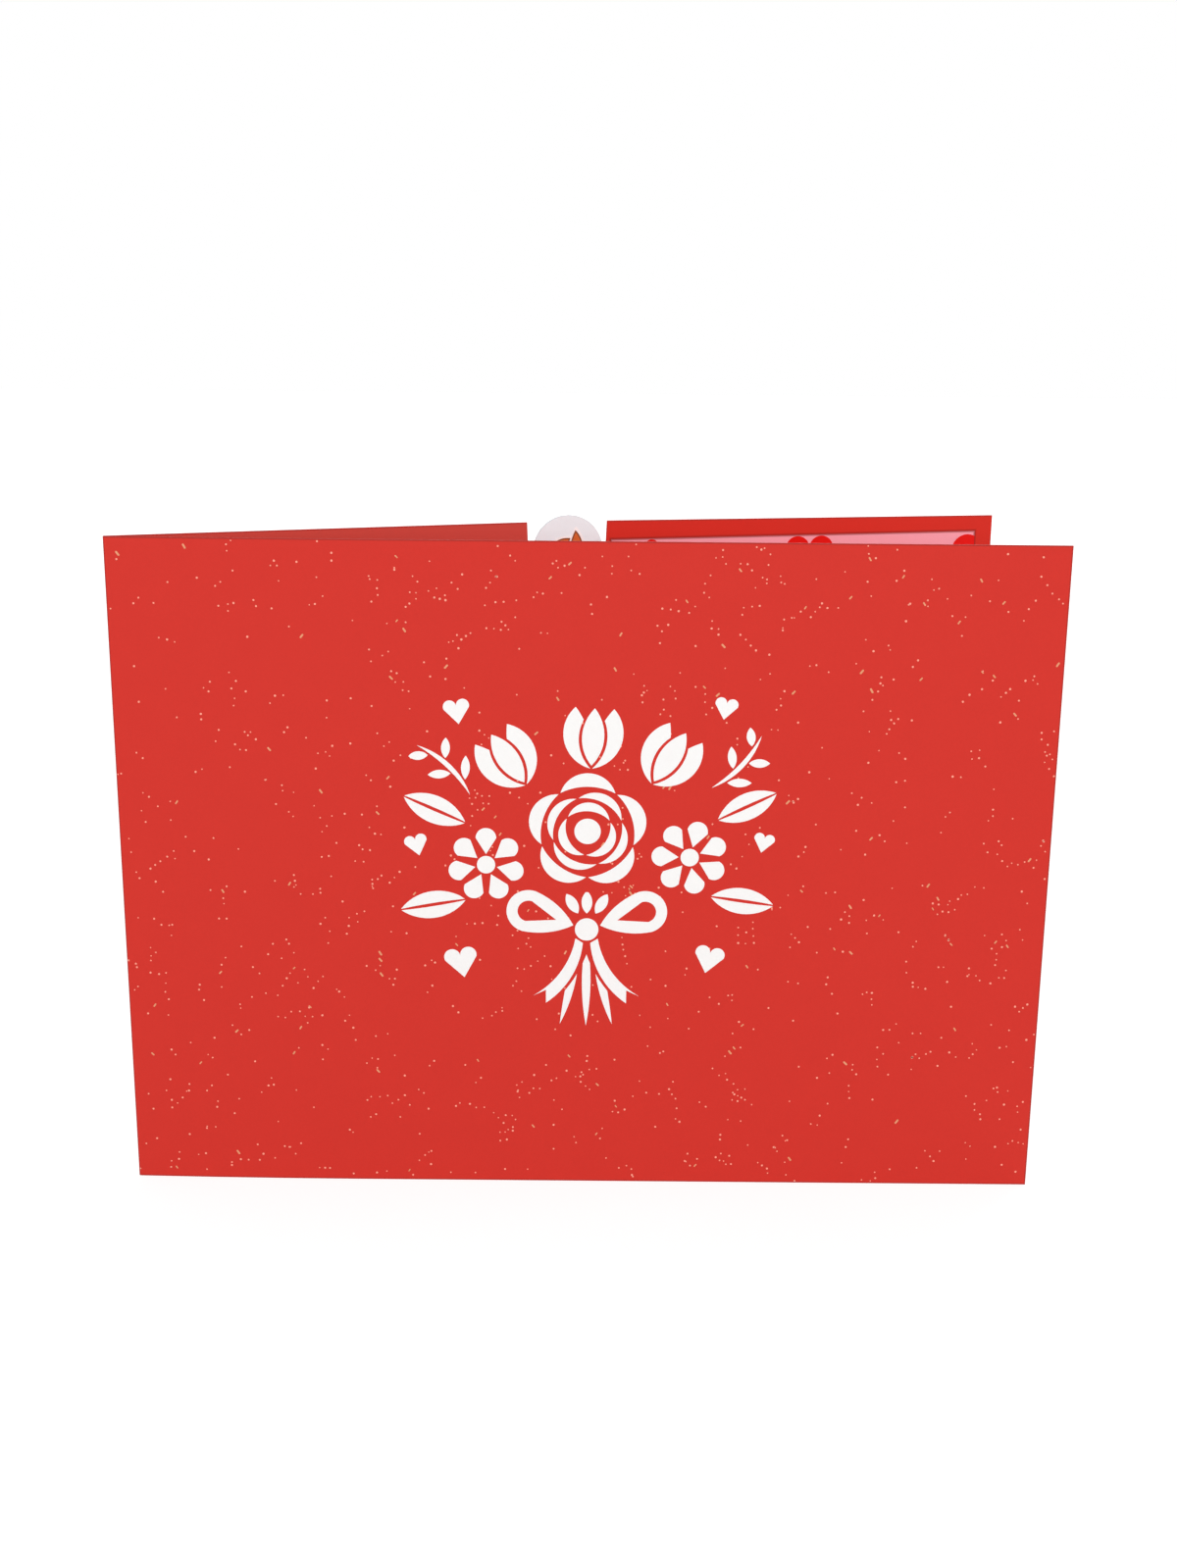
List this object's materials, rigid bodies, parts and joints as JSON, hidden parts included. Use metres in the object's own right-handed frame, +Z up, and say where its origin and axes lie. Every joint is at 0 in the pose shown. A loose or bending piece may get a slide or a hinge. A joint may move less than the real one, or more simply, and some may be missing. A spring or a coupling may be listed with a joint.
{
  "type": "greeting card",
  "caption": "Folded red greeting card, standing slightly open, with a printed bouquet on its front, a pink liner with hearts inside and a small round tag in a notch at the back.",
  "frame": {"origin": "middle of the whole card's box on the surface that it stands on", "axes": "+X along the front leaf from the fold to its free edge, +Y from the front leaf to the back leaf, +Z up"},
  "size_m": [0.18, 0.0454, 0.1312],
  "materials": {
    "red_card": "smooth uncoated card",
    "white_ink": "opaque screen print",
    "pink_paper": "smooth paper",
    "red_ink": "flat print",
    "grey_card": "smooth card",
    "brown_ink": "flat print"
  },
  "bodies": {
    "root": {"cover": "red_card", "front_print": "white_ink", "message_liner": "pink_paper", "liner_hearts": "red_ink", "medallion": "grey_card", "medallion_border": "white_ink", "medallion_leaves": "brown_ink"}
  },
  "joints": []
}
